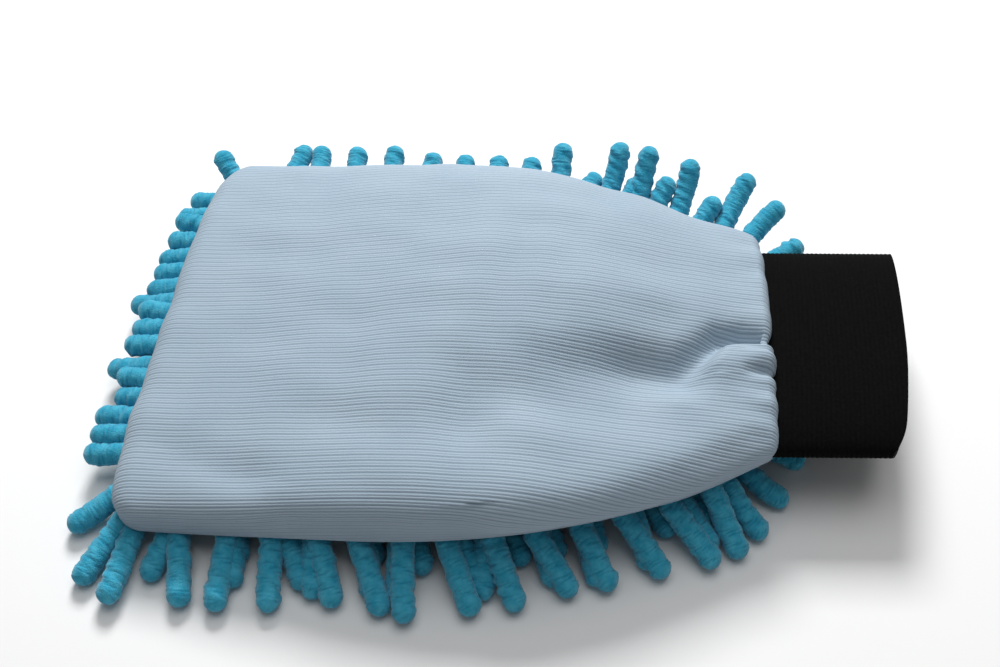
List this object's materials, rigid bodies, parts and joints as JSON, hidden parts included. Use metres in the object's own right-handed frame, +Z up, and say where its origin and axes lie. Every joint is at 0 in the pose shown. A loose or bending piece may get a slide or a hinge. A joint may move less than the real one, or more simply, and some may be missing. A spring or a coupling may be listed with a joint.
{
  "type": "wash mitt",
  "caption": "Chenille car-wash mitt: puffed ribbed cloth back, palm of chenille noodles, wide black elastic cuff that folds and opens.",
  "frame": {"origin": "centre of the footprint, on the surface that the pile stands on", "axes": "+X from the fingertip end to the cuff, +Y across the hand, +Z up through the back of the hand"},
  "size_m": [0.2892, 0.2116, 0.0565],
  "materials": {
    "ribbed_microfibre": "pale blue-grey finely ribbed microfibre, soft matte",
    "chenille": "turquoise chenille pile, fuzzy and matte",
    "woven_elastic": "black woven elastic with fine cross ribs",
    "knit_base": "turquoise knitted backing, matte",
    "wadding": "white polyester wadding",
    "lining": "pale grey polyester lining, matte",
    "seam_thread": "pale blue-grey polyester thread",
    "black_thread": "black polyester thread"
  },
  "bodies": {
    "hand_pocket": {"back_lining": "lining", "back_panel": "ribbed_microfibre", "back_wadding": "wadding", "neck_gather_back": "ribbed_microfibre", "neck_gather_palm": "knit_base", "noodle_row_01": "chenille", "noodle_row_02": "chenille", "noodle_row_03": "chenille", "noodle_row_04": "chenille", "noodle_row_05": "chenille", "noodle_row_06": "chenille", "noodle_row_07": "chenille", "noodle_row_08": "chenille", "noodle_row_09": "chenille", "noodle_row_10": "chenille", "noodle_row_11": "chenille", "noodle_row_12": "chenille", "noodle_row_13": "chenille", "noodle_row_14": "chenille", "palm_base_cloth": "knit_base", "palm_lining": "lining", "perimeter_seam_allowance": "ribbed_microfibre", "perimeter_seam_thread": "seam_thread"},
    "cuff_lower": {"cuff_band_lower": "woven_elastic", "cuff_seam_allowance_lower": "ribbed_microfibre", "cuff_seam_thread_lower": "black_thread", "cuff_join_lap": "woven_elastic", "cuff_join_stitches": "black_thread"},
    "cuff_upper": {"cuff_band_upper": "woven_elastic", "cuff_seam_allowance_upper": "ribbed_microfibre", "cuff_seam_thread_upper": "black_thread"}
  },
  "joints": [
    {"name": "cuff_flex", "type": "hinge", "parent": "hand_pocket", "child": "cuff_lower", "pos_m": [0.0846, 0, 0.03], "axis": [0, -1, 0], "range_deg": [-15, 60], "stiffness_Nm_per_rad": 0.15, "deforming": ["neck_gather_back", "neck_gather_palm"]},
    {"name": "cuff_mouth_open", "type": "hinge", "parent": "cuff_lower", "child": "cuff_upper", "pos_m": [0.0946, 0, 0.0378], "axis": [0, -1, 0], "range_deg": [0, 28], "stiffness_Nm_per_rad": 0.05}
  ]
}
